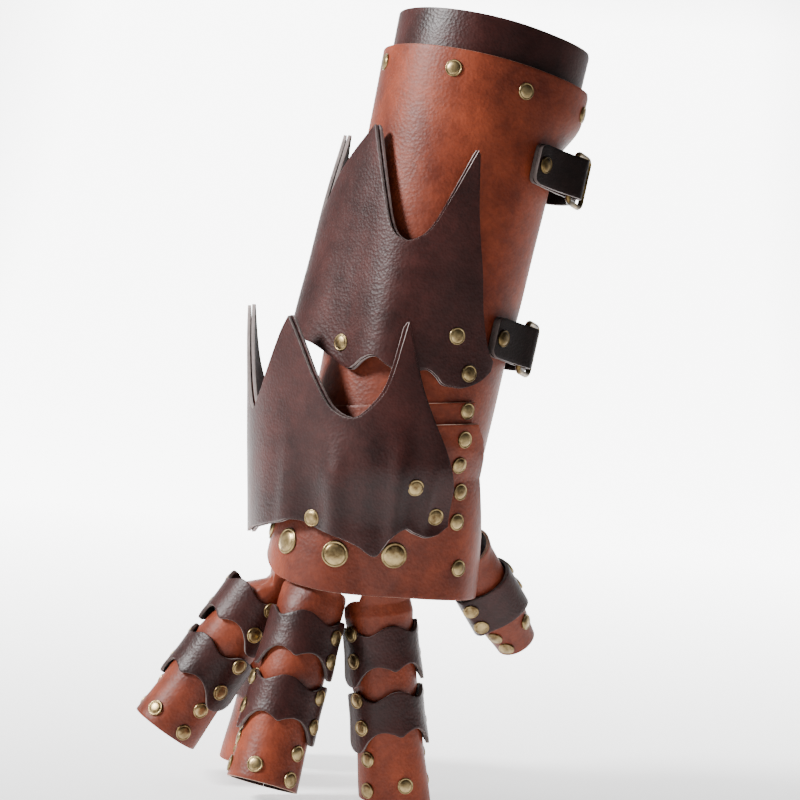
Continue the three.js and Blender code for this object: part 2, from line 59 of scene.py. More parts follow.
def lerp(a, b, t):
    return a + (b - a) * t


def ease(x, low, high):
    t = min(1.0, max(0.0, (x - low) / (high - low)))
    return t * t * (3 - 2 * t)


class Limb:
    """Height runs up the limb; angle 0 looks to the back of the hand and grows to the thumb side."""

    def __init__(self, bottom, top):
        self.bottom = Vector(bottom)
        self.up = (Vector(top) - self.bottom).normalized()
        out = Vector((0, -1, 0))
        self.out = (out - self.up * out.dot(self.up)).normalized()
        self.across = self.up.cross(self.out)

    def at(self, angle, height, radius):
        a = math.radians(angle)
        turned = self.out * math.cos(a) + self.across * math.sin(a)
        return self.bottom + self.up * height + turned * radius

    def locate(self, point):
        r = point - self.bottom
        x, y = r.dot(self.across), r.dot(self.out)
        return math.degrees(math.atan2(x, y)), r.dot(self.up), math.hypot(x, y)


forearm = Limb(WRIST, CUFF_TOP)


def soft(angle, height, size, seed=0.0):
    """Slow unevenness of formed leather, the same for layers that lie on one another."""
    a = math.radians(angle)
    return size * noise.noise(Vector((1.6 * math.cos(a), 1.6 * math.sin(a), height / 38 + seed)))


def cuff_radius(angle, height):
    cone = lerp(WRIST_RADIUS, TOP_RADIUS, height / CUFF_LENGTH)
    flare = FLARE * ease(angle, 35, CUFF_OPEN_FROM) * ease(height, FLARE_FROM, FLARE_TO)
    return cone + flare + soft(angle, height, 0.7)


def node_of(tree, kind, **values):
    made = tree.nodes.new(kind)
    for key, value in values.items():
        if key in made.inputs:
            made.inputs[key].default_value = value
        else:
            setattr(made, key, value)
    return made


def ranged(tree, value, start, end, low, high):
    """A value stretched so that what ran from start to end runs from low to high."""
    made = node_of(tree, "ShaderNodeMapRange")
    for key, number in (("From Min", start), ("From Max", end), ("To Min", low), ("To Max", high)):
        made.inputs[key].default_value = number
    tree.links.new(value, made.inputs["Value"])
    return made.outputs["Result"]


def toned(tree, value, dark_at, deep, light_at, light):
    tone = node_of(tree, "ShaderNodeValToRGB")
    for element, position, color in zip(tone.color_ramp.elements, (dark_at, light_at), (deep, light)):
        element.position = position
        element.color = (*color, 1)
    tree.links.new(value, tone.inputs["Fac"])
    return tone.outputs["Color"]


def shaded(tree, color, shade):
    mix = node_of(tree, "ShaderNodeMix", data_type="RGBA", blend_type="MULTIPLY")
    mix.inputs["Factor"].default_value = 1.0
    tree.links.new(color, mix.inputs["A"])
    tree.links.new(shade, mix.inputs["B"])
    return mix.outputs["Result"]


def hide_look(name, deep, light, rough, grain, coat, shine=0.26):
    """Leather: two tones in soft clouds, darker rubbed patches, a fine pebbled grain."""
    look = bpy.data.materials.new(name)
    look.use_nodes = True
    tree = look.node_tree
    link = tree.links.new
    skin = tree.nodes["Principled BSDF"]
    place = node_of(tree, "ShaderNodeTexCoord")
    cloud = node_of(tree, "ShaderNodeTexNoise", Scale=34.0, Detail=7.0, Roughness=0.62)
    patch = node_of(tree, "ShaderNodeTexNoise", Scale=9.0, Detail=3.0, Roughness=0.5)
    pores = node_of(tree, "ShaderNodeTexVoronoi", Scale=grain)
    crease = node_of(tree, "ShaderNodeTexNoise", Scale=230.0, Detail=6.0, Roughness=0.66, Distortion=0.6)
    for texture in (cloud, patch, pores, crease):
        link(place.outputs["Object"], texture.inputs["Vector"])
    tone = toned(tree, cloud.outputs["Fac"], 0.3, deep, 0.72, light)
    worn = shaded(tree, tone, ranged(tree, patch.outputs["Fac"], 0.3, 0.7, 0.62, 1.12))
    grained = shaded(tree, worn, ranged(tree, crease.outputs["Fac"], 0.35, 0.65, 0.84, 1.12))
    link(grained, skin.inputs["Base Color"])
    gloss = ranged(tree, cloud.outputs["Fac"], 0.0, 1.0, rough - 0.1, rough + 0.14)
    link(gloss, skin.inputs["Roughness"])
    fine = node_of(tree, "ShaderNodeBump", Strength=0.3, Distance=0.0004)
    broad = node_of(tree, "ShaderNodeBump", Strength=0.19, Distance=0.0006)
    link(pores.outputs["Distance"], fine.inputs["Height"])
    link(crease.outputs["Fac"], broad.inputs["Height"])
    link(fine.outputs["Normal"], broad.inputs["Normal"])
    link(broad.outputs["Normal"], skin.inputs["Normal"])
    skin.inputs["Specular IOR Level"].default_value = shine
    skin.inputs["Coat Weight"].default_value = coat
    skin.inputs["Coat Roughness"].default_value = 0.32
    return look


RUST = hide_look("rust_hide", (0.09, 0.0135, 0.0055), (0.27, 0.05, 0.018), 0.48, 620.0, 0.04)
CUT_RUST = hide_look("cut_edge_rust", (0.42, 0.25, 0.18), (0.72, 0.5, 0.4), 0.7, 1500.0, 0.0)
# The flesh side lines every inner face; its near-black is partly the back of the hide and partly painted
# shade of the insides.
FLESH_AND_SHADE = hide_look("flesh_side_and_painted_shade", (0.008, 0.003, 0.0025), (0.03, 0.011, 0.009), 0.75, 1400.0, 0.0, 0.12)
RUST_LOOKS = (RUST, CUT_RUST, FLESH_AND_SHADE)


def in_frame(point):
    return (point + FRAME_SHIFT) / 1000


def leather(name, columns, rows_up, place, hide, looks, stands_for=(), length=1.0, width=1.0):
    """A cut blank laid over place(u, v), the outer face in millimetres, then given its thickness."""
    mesh = bpy.data.meshes.new(name)
    bm = bmesh.new()
    bmesh.ops.create_grid(bm, x_segments=columns, y_segments=rows_up, size=0.5)
    uv = bm.loops.layers.uv.new("blank")
    for face in bm.faces:
        face.smooth = True
        for loop in face.loops:
            loop[uv].uv = ((loop.vert.co.x + 0.5) * length, (loop.vert.co.y + 0.5) * width)
    for vert in bm.verts:
        vert.co = in_frame(place(vert.co.x + 0.5, vert.co.y + 0.5))
    bm.to_mesh(mesh)
    bm.free()
    piece = bpy.data.objects.new(name, mesh)
    bpy.context.scene.collection.objects.link(piece)
    for look in looks:
        mesh.materials.append(look)
    thick = piece.modifiers.new("hide", "SOLIDIFY")
    thick.thickness = hide / 1000
    thick.offset = -1
    thick.use_even_offset = False
    thick.material_offset = 2
    thick.material_offset_rim = 1
    round_edge = piece.modifiers.new("edge", "BEVEL")
    round_edge.width = min(0.0003, hide / 8000)
    round_edge.segments = 2
    round_edge.profile = 0.5
    round_edge.affect = "EDGES"
    round_edge.material = -1
    round_edge.limit_method = "ANGLE"
    round_edge.angle_limit = math.radians(55)
    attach(piece, "root")
    if stands_for:
        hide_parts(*stands_for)


def wrap(low, high, corner, inset):
    def place(u, v):
        height = lerp(low, high, v)
        into = max(0.0, corner - min(high - height, height - low)) / corner
        cut = 1 - math.sqrt(max(0.0, 1 - into * into))
        angle = lerp(CUFF_OPEN_TO - 360, CUFF_OPEN_FROM - 12 * cut, u)
        return forearm.at(angle, height, cuff_radius(angle, height) - inset)

    return place


leather(
    "forearm_cuff_hide", 150, 110, wrap(CUFF_BOTTOM, CUFF_LENGTH, 14, 0), CUFF_HIDE,
    RUST_LOOKS, ("forearm_cuff",), 0.27, 0.19,
)


# Top band of the cuff: a second, thinner strip of near-black leather inside the rim.
# It stands 20 mm above the rust leather and is held by the row of domed rivets.
BAND_TOP = CUFF_LENGTH + 20.0
BAND_INSET = CUFF_HIDE + 1.3
BAND_HIDE = 2.4

DARK = hide_look("dark_hide", (0.013, 0.0025, 0.0021), (0.056, 0.0125, 0.0098), 0.42, 700.0, 0.03)
CUT_DARK = hide_look("cut_edge_dark", (0.26, 0.21, 0.20), (0.52, 0.45, 0.43), 0.7, 1500.0, 0.0)
DARK_LOOKS = (DARK, CUT_DARK, FLESH_AND_SHADE)

leather(
    "cuff_top_band_hide", 150, 44, wrap(152, BAND_TOP, 10, BAND_INSET), BAND_HIDE,
    DARK_LOOKS, ("cuff_top_band",), 0.27, 0.05,
)


# Upper spiked plate: two hides riveted to the wrist end of the cuff, the back one cut a little larger.
# The upper edge rises in three tall points; between the rivets the hides bulge off the cuff.
PLATE_HIDE = 1.7
LAYER_GAP = 0.6
BACK_SPARE = 1.1


def table(columns, *rows):
    return [dict(zip(columns.split(), row)) for row in rows]


def read(rows, column, x, smooth=False):
    """Value of a column at x: straight between the rows, or on a smooth curve through them."""
    if x <= rows[0]["at"]:
        return rows[0][column]
    if x >= rows[-1]["at"]:
        return rows[-1][column]
    i = next(k for k in range(len(rows)) if rows[k + 1]["at"] >= x)
    a, b = rows[i], rows[i + 1]
    span = b["at"] - a["at"]
    t = (x - a["at"]) / span
    if not smooth:
        return lerp(a[column], b[column], t)
    before, after = rows[max(i - 1, 0)], rows[min(i + 2, len(rows) - 1)]
    slope_a = (b[column] - before[column]) / (b["at"] - before["at"]) * span
    slope_b = (after[column] - a[column]) / (after["at"] - a["at"]) * span
    t2, t3 = t * t, t * t * t
    from_a = (2 * t3 - 3 * t2 + 1) * a[column] + (t3 - 2 * t2 + t) * slope_a
    return from_a + (3 * t2 - 2 * t3) * b[column] + (t3 - t2) * slope_b


UPPER = table(
    "at top bottom low high",
    (-132, 78, 52, 3, 6), (-121, 92, 42, 7, 8), (-111, 113, 38, 12, 10), (-101, 141, 37, 15, 12),
    (-95, 117, 37, 17, 11), (-89, 98, 38, 17, 10), (-82, 103, 36, 15, 9), (-74, 117, 33, 12, 8),
    (-65, 128, 31, 8, 7), (-51, 142, 26, 3, 6), (-37, 112, 22, 3, 7), (-28, 94, 28, 7, 8),
    (-21, 88, 30, 9, 8), (-14, 88, 27, 8, 8), (-6, 95, 25, 6, 8), (0, 111, 26, 5, 8),
    (8, 137, 29, 4, 8), (14, 113, 27, 3, 7), (19, 98, 24, 3, 6), (26, 81, 24, 2, 4),
    (33, 62, 25, 2, 3), (42, 46, 30, 3, 3), (48, 41, 36, 3, 3),
)


def swell(rows, column, angle):
    """A lift column, eased over a few degrees, so that the hide swells without a crease."""
    return sum(read(rows, column, angle + 3 * k) for k in range(-3, 4)) / 7


def crown(rows, angle):
    """Upper edge of a spiked plate: sharp at the points, hollowed between them."""
    angle = min(max(angle, rows[0]["at"]), rows[-1]["at"])
    tips = [
        i for i in range(1, len(rows) - 1)
        if rows[i]["top"] > rows[i - 1]["top"] and rows[i]["top"] > rows[i + 1]["top"]
    ]
    ends = [0, *tips, len(rows) - 1]
    for a, b in zip(ends, ends[1:]):
        if angle <= rows[b]["at"] or b == ends[-1]:
            return read(rows[a:b + 1], "top", angle, True)


def upper_face(angle, height):
    low = swell(UPPER, "low", angle)
    high = swell(UPPER, "high", angle)
    lift = max(0.0, lerp(low, high, (height - 30) / 100))
    return cuff_radius(angle, height) + 2 * PLATE_HIDE + LAYER_GAP + 0.35 + max(0.0, lift - 2)


def spiked(rows, limb, face, inset, spare=0.0):
    """Stations across the plate fall on the rows of its table, so every spike keeps its point.
    The back hide is cut a little larger, so that its edge shows beside the front one's."""
    last = len(rows) - 1

    def place(u, v):
        i = min(last - 1, int(u * last + 1e-6))
        angle = lerp(rows[i]["at"], rows[i + 1]["at"], u * last - i)
        bottom = read(rows, "bottom", angle, True) - 0.4 * spare
        top = max(crown(rows, angle + side * spare) for side in (-1, -0.5, 0, 0.5, 1)) + 0.4 * spare
        height = lerp(bottom, top, v)
        return limb.at(angle, height, face(angle, height) - inset)

    return place


leather(
    "upper_plate_front", 22 * 8, 56, spiked(UPPER, forearm, upper_face, 0), PLATE_HIDE,
    DARK_LOOKS, ("upper_plate_outer",), 0.2, 0.1,
)
leather(
    "upper_plate_back", 22 * 8, 56,
    spiked(UPPER, forearm, upper_face, PLATE_HIDE + LAYER_GAP, BACK_SPARE), PLATE_HIDE,
    DARK_LOOKS, ("upper_plate_lining",), 0.2, 0.1,
)


# Back of the hand: a rust-leather plate that arches over the knuckles and runs up over the wrist,
# a narrow strip above it round the cuff's end, and a palm panel tucked in under the plate's edge.
HAND_BOTTOM = (-4.0, -6.0, 102.0)
HAND_HIDE = 2.6
STRIP_HIDE = 1.8
hand = Limb(HAND_BOTTOM, WRIST)
HAND_LENGTH = (Vector(WRIST) - Vector(HAND_BOTTOM)).length
KNUCKLES = table(
    "at radius",
    (-180, 32), (-150, 39), (-127, 49), (-106, 54), (-85, 54), (-60, 53), (-33, 48), (-10, 39),
    (14, 36), (38, 41), (58, 46), (75, 47.5), (90, 47.5), (110, 46), (135, 40), (158, 34), (180, 32),
)


def under_cuff(point, clearance):
    angle, height, radius = forearm.locate(point)
    fade = 0.2 * max(0.0, -5 - height)
    return radius < cuff_radius(angle, max(height, 0)) + clearance - fade


def hand_inner(angle, height):
    turn = angle - 360 if angle > 180 else angle
    low = read(KNUCKLES, "radius", turn, True)
    radius = lerp(low, WRIST_RADIUS, ease(height, 0, HAND_LENGTH))
    step = 8.0
    clearance = STRIP_HIDE + 1.3
    if under_cuff(hand.at(angle, height, radius), clearance):
        while step > 0.02:
            while under_cuff(hand.at(angle, height, radius + step), clearance):
                radius += step
            step /= 4
    return radius


def tilt(angle):
    return 7.6 * math.sin(math.radians(angle)) + 3.0


SIDES = table(
    "at left right",
    (0, -112, 88), (0.35, -110, 82), (0.7, -106, 66), (0.9, -103, 58), (1, -101, 50),
)
EDGE = table(
    "at bottom",
    (-112, 16), (-85, 10), (-60, 2), (-33, -1), (-10, -1), (14, 0), (38, 1), (60, 2), (88, 3),
)


def hand_face(angle, height):
    return hand_inner(angle, height) + HAND_HIDE


def strip_face(angle, height):
    return hand_inner(angle, height) - 0.7


def hand_place(u, v):
    angle = lerp(read(SIDES, "left", v), read(SIDES, "right", v), u)
    height = lerp(read(EDGE, "bottom", angle, True), HAND_LENGTH + tilt(angle), v)
    return hand.at(angle, height, hand_face(angle, height))


def strip_place(u, v):
    angle = lerp(-104, 49, u)
    height = HAND_LENGTH + 10.5 - 16 * (1 - v) + tilt(angle)
    return hand.at(angle, height, strip_face(angle, height))


def palm_place(u, v):
    height = lerp(12, HAND_LENGTH - 15, v)
    angle = lerp(142, 368 + read(SIDES, "left", height / HAND_LENGTH), u)
    return hand.at(angle, height, hand_inner(angle, height) - 1.25)


leather(
    "hand_plate_hide", 110, 60, hand_place, HAND_HIDE,
    RUST_LOOKS, ("hand_plate",), 0.17, 0.08,
)
leather(
    "wrist_strip_hide", 110, 10, strip_place, STRIP_HIDE,
    RUST_LOOKS, ("wrist_strip",), 0.13, 0.016,
)
leather(
    "palm_panel_hide", 60, 24, palm_place, HAND_HIDE,
    RUST_LOOKS, ("palm_panel",), 0.09, 0.05,
)


# Lower spiked plate: two hides like the upper plate's, wider than the cuff, over the wrist and hand.
# It is riveted through the hand plate, and shallow folds run up from its rivets.
LOWER_RADIUS = 63.0
lower_axis = Limb((-5.8, 7.3, 130.0), (-14.7, 18.4, 230.1))
LOWER = table(
    "at top bottom low high",
    (-116, 62, 14, -4, -2), (-108, 74, 8, -2, -1), (-100, 88, 3, 0, 0), (-91, 114, 0, 1, 1),
    (-82, 78, 0, 1, 1), (-73, 61, 2, 1, 0), (-64, 68, 3, 1, 0), (-56, 80, 4, 1, 0), (-46, 98, 5, 1, 0),
    (-41, 105, 6, 0.5, 0), (-34, 91, 5, -0.6, 1), (-26, 73, 1, -0.6, 3), (-18, 59, -2, 0, 5),
    (-8, 54, -7, 1, 7), (0, 60.5, -12, 1, 8), (6, 71.5, -4, 0.6, 9), (13, 100, 1, 0, 9.6),
    (17, 73, -1, 0, 9.8), (22, 54, -3, 0.6, 10), (27, 39, -2, 1.4, 10.2), (32, 20, 2, 2, 10.4),
)
FOLDS = table(
    "at height reach width depth",
    (-29, 6, 52, 6.0, -1.5), (-42, 10, 60, 5.5, 1.8), (-18, 4, 46, 5.0, 3.2),
    (16, 21, 46, 4.5, -1.3), (8, 6, 54, 4.0, 3.2), (26, 7, 26, 4.0, -0.8), (21, 8, 24, 2.4, 1.4),
)


def folded(angle, height):
    offset = 0.0
    for fold in FOLDS:
        side = (angle - fold["at"] - 0.06 * (height - fold["height"])) / fold["width"]
        along = (height - fold["height"]) / fold["reach"]
        fade = (1 - ease(along, 0.1, 1.0)) * ease(along, -0.5, 0.0)
        offset += fold["depth"] * math.exp(-side * side) * fade
    return offset


def lower_face(angle, height):
    low = swell(LOWER, "low", angle)
    high = swell(LOWER, "high", angle)
    lift = lerp(low, high, ease(height, 0, 32))
    return LOWER_RADIUS + PLATE_HIDE + lift + folded(angle, height) + soft(angle, height, 0.5, 4.0)


leather(
    "lower_plate_front", 20 * 8, 60, spiked(LOWER, lower_axis, lower_face, 0), PLATE_HIDE,
    DARK_LOOKS, ("lower_plate_outer",), 0.17, 0.08,
)
leather(
    "lower_plate_back", 20 * 8, 60,
    spiked(LOWER, lower_axis, lower_face, PLATE_HIDE + LAYER_GAP, BACK_SPARE), PLATE_HIDE,
    DARK_LOOKS, ("lower_plate_lining",), 0.17, 0.08,
)


# Fingers: an open rust-leather tip, a knuckle sleeve that ends in a tongue under the hand plate,
# and two dark bands with scalloped edges round each finger, all riveted.
FINGER_RADIUS = 15.6
FINGER_HIDE = 1.6
FINGER_BAND = 1.8
FINGERS = {
    "index": dict(
        tip=(14.6, -21.6, 0), root=(-3.1, -20.6, 102.6),
        facing=20, dome=1, under=0, cut=0, flat=True,
    ),
    "middle": dict(
        tip=(-51.1, -55.1, 5.6), root=(-33.8, -28.8, 100.1),
        facing=-3, dome=0.3, under=0, cut=3.5, flat=False,
    ),
    "ring": dict(
        tip=(-105.0, -16.6, 20), root=(-56.8, -6.7, 100.9),
        facing=-35, dome=0.3, under=0, cut=5, flat=False,
    ),
    "little": dict(
        tip=(-60.0, 46.0, 0), root=(-44.0, 28.0, 97.0),
        facing=-75, dome=0.3, under=6.6, cut=0, flat=True,
    ),
}
KNUCKLE_RIVETS = {"index": (9, 20.6), "middle": (-27, 17.5), "ring": (-58, 19.6), "little": (-90, 24)}
BAND_EDGE = table(
    "at top bottom",
    (-118, 8, -10), (-100, 10.5, -14.5), (-80, 12, -17.5), (-66, 11.4, -17), (-52, 8.6, -11.8),
    (-38, 7.6, -8.4), (-24, 9.2, -7.6), (-10, 11.4, -9), (0, 11.8, -10.6), (10, 11.4, -9), (24, 9.2, -7.6),
    (38, 7.6, -8.4), (52, 8.6, -11.8), (66, 11.4, -17), (80, 12, -17.5), (100, 10.5, -14.5), (118, 8, -10),
)
SLEEVE_ROWS = (38, 48, 57, 84, 89, 94, 100, 102)
SLEEVE_LAST = len(SLEEVE_ROWS) - 1
SLEEVE_TURN = 160
TIP_TURN = 179.6
BAND_TURN = 118
UNDER_HAND = 0.95
BULGE = table(
    "at radius",
    (38, 0), (48, 0), (57, 1.6), (84, 1.6), (89, 2.1), (94, 2.6), (101, 1.6), (121, -2),
)


def tip_radius(height):
    return FINGER_RADIUS + lerp(1.2, 0, ease(height, 0, 30)) + 0.9


def knuckle_point(finger, rivet, limb, row, angle):
    """A point of the sleeve; the last row runs out into the tongue under the knuckle's rivet."""
    height = SLEEVE_ROWS[row]
    if row >= SLEEVE_LAST - 1:
        height -= 5 * ease(abs(angle), 60, 120)
    share = abs(angle) / 50
    if row == SLEEVE_LAST and share < 1:
        turn = rivet[0] + angle * 0.19
        level = rivet[1] + 8 - 5 * share * share
        return hand.at(turn, level, hand_inner(turn, level) - UNDER_HAND)
    bulge = read(BULGE, "radius", height)
    if height > 84:
        bulge = min(bulge, lerp(1.6, bulge, finger["dome"]))
    point = limb.at(finger["facing"] + angle, height, FINGER_RADIUS - 1.05 + bulge)
    turn, level, radius = hand.locate(point)
    if level < -8:
        return point
    limit = hand_inner(turn, level) - UNDER_HAND - finger["under"]
    if radius <= limit:
        return point
    return hand.at(turn, level, lerp(radius, limit, ease(level, -8, -2)))


def sleeve_place(finger, rivet, limb):
    known = {}

    def place(u, v):
        angle = lerp(-SLEEVE_TURN, SLEEVE_TURN, u)
        i = min(SLEEVE_LAST - 1, int(v * SLEEVE_LAST + 1e-6))
        for row in (i, i + 1):
            if (row, round(u, 5)) not in known:
                known[row, round(u, 5)] = knuckle_point(finger, rivet, limb, row, angle)
        return known[i, round(u, 5)].lerp(known[i + 1, round(u, 5)], v * SLEEVE_LAST - i)

    return place


def tip_place(finger, limb):
    def place(u, v):
        height = lerp(finger["cut"], 46, v)
        angle = finger["facing"] + lerp(-TIP_TURN, TIP_TURN, u)
        point = limb.at(angle, height, tip_radius(height))
        if finger["flat"]:
            foot = limb.at(angle, 0, tip_radius(0))
            point -= limb.up * ((foot.z - 0.4) / limb.up.z) * max(0.0, 1 - height / 22)
        return point

    return place


def band_face(middle):
    return lambda angle, height: FINGER_RADIUS + 1.4 + FINGER_BAND + 0.8 * ease(middle - height, 0, 16)


def band_place(finger, limb, middle):
    face = band_face(middle)

    def place(u, v):
        angle = lerp(-BAND_TURN, BAND_TURN, u)
        low, high = read(BAND_EDGE, "bottom", angle, True), read(BAND_EDGE, "top", angle, True)
        height = middle + lerp(low, high, v)
        return limb.at(finger["facing"] + angle, height, face(angle, height))

    return place


CUT_TRIM = hide_look("cut_edge_trim", (0.07, 0.052, 0.048), (0.17, 0.135, 0.125), 0.65, 1500.0, 0.0)
TRIM_LOOKS = (DARK, CUT_TRIM, FLESH_AND_SHADE)
BAND_MIDDLES = (77, 44.5)
limbs = {}
for name, finger in FINGERS.items():
    limbs[name] = Limb(finger["tip"], finger["root"])
    leather(
        name + "_tip_hide", 60, 20, tip_place(finger, limbs[name]), FINGER_HIDE,
        RUST_LOOKS, (name + "_tip",), 0.1, 0.046,
    )
    sleeve = sleeve_place(finger, KNUCKLE_RIVETS[name], limbs[name])
    leather(
        name + "_sleeve_hide", 60, 56, sleeve, FINGER_HIDE,
        RUST_LOOKS, (name + "_sleeve",), 0.1, 0.07,
    )
    for number, middle in enumerate(BAND_MIDDLES, 1):
        band = band_place(finger, limbs[name], middle)
        leather(
            name + "_band_hide_" + str(number), 96, 16, band, FINGER_BAND,
            TRIM_LOOKS, (name + "_band_" + str(number),), 0.08, 0.025,
        )


# Thumb: a rust loop that stands up behind the edge of the hand plate, its tongue riveted under
# that edge, a tapered open tip pushed into the loop, and one dark band over the joint.
thumb = Limb((70.5, 37.7, 75.3), (47.2, 16.0, 110.5))
THUMB_RADIUS = 13.6
THUMB_END_RADIUS = 10.3
THUMB_TIP_LENGTH = 32
LOOP_FROM = 33
LOOP_TO = 66
TONGUE_TURN = 74
TONGUE_LEVEL = 17.8


def thumb_tip_face(angle, height):
    return lerp(THUMB_END_RADIUS, THUMB_RADIUS, ease(height, -6, 28))


def thumb_tip_place(u, v):
    angle = lerp(-168, 168, u)
    height = THUMB_TIP_LENGTH * v
    return thumb.at(angle, height, thumb_tip_face(angle, height))


def thumb_loop_place(u, v):
    angle = lerp(-160, 160, u)
    height = lerp(LOOP_FROM, LOOP_TO - 2 * math.cos(math.radians(angle)), v)
    return thumb.at(angle, height, THUMB_RADIUS - 0.4 + 1.2 * ease(height, 58, LOOP_TO))


def thumb_band_face(angle, height):
    """Round, but pressed flat where its two rivets face the back of the hand."""
    flat = min(max(-15 - angle, 0), 30)
    flap = 1 / math.cos(math.radians(flat)) - 1
    return (THUMB_RADIUS + 2.35) * (1 + flap * (1 - ease(-angle, 45, 95)))


def thumb_band_place(u, v):
    angle = lerp(-150, 150, u)
    low = 19 + 4 * math.cos(math.radians(angle))
    return thumb.at(angle, lerp(low, 45, v), thumb_band_face(angle, 0))


def thumb_tongue_place(u, v):
    along = max(0.0, 1.5 * u - 0.5)
    back = max(0.0, 1 - 3 * u)
    height = TONGUE_LEVEL + lerp(15, 8, back) * (v - 0.5)
    turn = lerp(TONGUE_TURN, 46, along)
    point = hand.at(turn, height, hand_inner(turn, height) - 0.7)
    bend = hand.at(TONGUE_TURN, TONGUE_LEVEL, hand_inner(TONGUE_TURN, TONGUE_LEVEL) - 0.7)
    return point + (thumb.at(-11, 58, THUMB_RADIUS - 1.2) - bend) * back


leather(
    "thumb_tip_hide", 56, 16, thumb_tip_place, FINGER_HIDE,
    RUST_LOOKS, ("thumb_tip",), 0.08, 0.03,
)
leather(
    "thumb_loop_hide", 56, 14, thumb_loop_place, FINGER_HIDE,
    RUST_LOOKS, ("thumb_loop",), 0.08, 0.03,
)
leather(
    "thumb_loop_tongue", 24, 8, lambda u, v: thumb_tongue_place(1 - u, v), FINGER_HIDE,
    RUST_LOOKS, (), 0.04, 0.015,
)
leather(
    "thumb_band_hide", 56, 12, thumb_band_place, FINGER_BAND,
    TRIM_LOOKS, ("thumb_band",), 0.08, 0.024,
)


# Closures: a dark tab riveted to the cuff's edge folds round the buckle's bar, and a billet from the far
# edge crosses the opening into the cast brass frame. Both are fastened. Their near-black leather and dark
# brass are painted shade.
STRAP_HIDE = 2.2
STRAP_WIDTH = 20.0
TAB_STACK = 2.4
TAB_SEAT = 3.2
FRAME_ROD = 2.8
FRAME_CORNERS = ((13, 9.4, 0), (3, 9.4, 90), (3, -9.4, 180), (13, -9.4, 270))
TAB = table(
    "at lift",
    (46, 2.4), (51, 2.4), (56, 2.8), (64, 5.0), (70, 8.4), (74.2, 12.2), (76.8, 14.4), (79.2, 13.0),
    (79.0, 10.0), (75.7, 6.8), (70, 4.4), (64, 2.9), (56, 2.1), (50, 2.0), (46.6, 2.0),
)
BILLET = table(
    "at lift",
    (82.5, 9.5), (88, 10.8), (94, 11.4), (101, 11.2), (111, 8.8), (122, 3.6),
    (132, 0.4), (140, 0), (147, 0),
)
CLOSURES = {"upper": dict(height=141.5, reach=1.0), "lower": dict(height=53.5, reach=0.66)}


def even_radius(height):
    return cuff_radius(0, height) - soft(0, height, 0.7)


def strap_place(path, height, reach, stack=0.0):
    """Strip of strap along the path; stack is the least lift of a layer that lies on another one."""
    spots = []
    for row in path:
        lift = row["lift"] * reach + stack * (1 - reach)
        radius = even_radius(height) + 0.8 + lift
        a = math.radians(row["at"])
        spots.append(Vector((radius * math.sin(a), radius * math.cos(a))))

    def along(t):
        x = min(max(t, 0.0), 1.0) * (len(spots) - 1)
        i = min(int(x), len(spots) - 2)
        p0, p1, p2 = spots[max(i - 1, 0)], spots[i], spots[i + 1]
        p3 = spots[min(i + 2, len(spots) - 1)]
        s = x - i
        square = (2 * p0 - 5 * p1 + 4 * p2 - p3) * s**2
        cube = (3 * p1 - p0 - 3 * p2 + p3) * s**3
        return 0.5 * (2 * p1 + (p2 - p0) * s + square + cube)

    def place(u, v):
        spot = along(u)
        step = (along(u + 0.004) - along(u - 0.004)).normalized()
        end = 1 - min(1.0, min(u, 1 - u) * 12) if stack else 0.0
        wide = STRAP_WIDTH * (0.55 + 0.45 * math.sqrt(1 - end * end))
        point = forearm.bottom + forearm.up * (height + wide * (v - 0.5))
        point = point + forearm.across * (spot.x - step.y * STRAP_HIDE)
        return point + forearm.out * (spot.y + step.x * STRAP_HIDE)

    return place


def brass_look(name, hollow, rubbed):
    """Antiqued cast brass: rubbed bright and brown in soft random patches, softly pitted."""
    look = bpy.data.materials.new(name)
    look.use_nodes = True
    tree = look.node_tree
    link = tree.links.new
    skin = tree.nodes["Principled BSDF"]
    place = node_of(tree, "ShaderNodeTexCoord")
    stain = node_of(tree, "ShaderNodeTexNoise", Scale=170.0, Detail=5.0, Roughness=0.6)
    pits = node_of(tree, "ShaderNodeTexNoise", Scale=900.0, Detail=2.0)
    for texture in (stain, pits):
        link(place.outputs["Object"], texture.inputs["Vector"])
    tone = toned(tree, stain.outputs["Fac"], 0.35, hollow, 0.62, rubbed)
    link(tone, skin.inputs["Base Color"])
    dent = node_of(tree, "ShaderNodeBump", Strength=0.2, Distance=0.0002)
    link(pits.outputs["Fac"], dent.inputs["Height"])
    link(dent.outputs["Normal"], skin.inputs["Normal"])
    skin.inputs["Metallic"].default_value = 1.0
    skin.inputs["Roughness"].default_value = 0.36
    return look


BRASS = brass_look("antique_brass", (0.11, 0.07, 0.032), (0.42, 0.31, 0.15))
# The closures' brass is the rivet brass darkened: painted shade on the buckle frames and tab rivets of the
# cuff's shaded side.
CLOSURE_BRASS_SHADE = brass_look("closure_brass_painted_shade", (0.02, 0.013, 0.006), (0.2, 0.135, 0.055))
# The straps' hide is the dark hide made near-black: painted shade of the closures, which lie on the cuff's
# shaded side.
SHADED_STRAP = hide_look("strap_hide_painted_shade", (0.004, 0.0018, 0.0016), (0.014, 0.006, 0.005), 0.5, 900.0, 0.0, 0.16)
SHADED_STRAP_LOOKS = (SHADED_STRAP, CUT_TRIM, FLESH_AND_SHADE)


def rod(name, spots, thickness, stands_for):
    """Round brass rod bent through the spots, in millimetres, and joined end to end."""
    path = bpy.data.curves.new(name, "CURVE")
    path.dimensions = "3D"
    line = path.splines.new("POLY")
    line.points.add(len(spots) - 1)
    for point, spot in zip(line.points, spots):
        point.co = (*in_frame(spot), 1)
    line.use_cyclic_u = True
    path.bevel_depth = thickness / 2000
    path.bevel_resolution = 5
    path.use_fill_caps = True
    # The frame takes the closures' darkened brass, which is painted shade.
    path.materials.append(CLOSURE_BRASS_SHADE)
    piece = bpy.data.objects.new(name, path)
    bpy.context.scene.collection.objects.link(piece)
    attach(piece, "root")
    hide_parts(*stands_for)


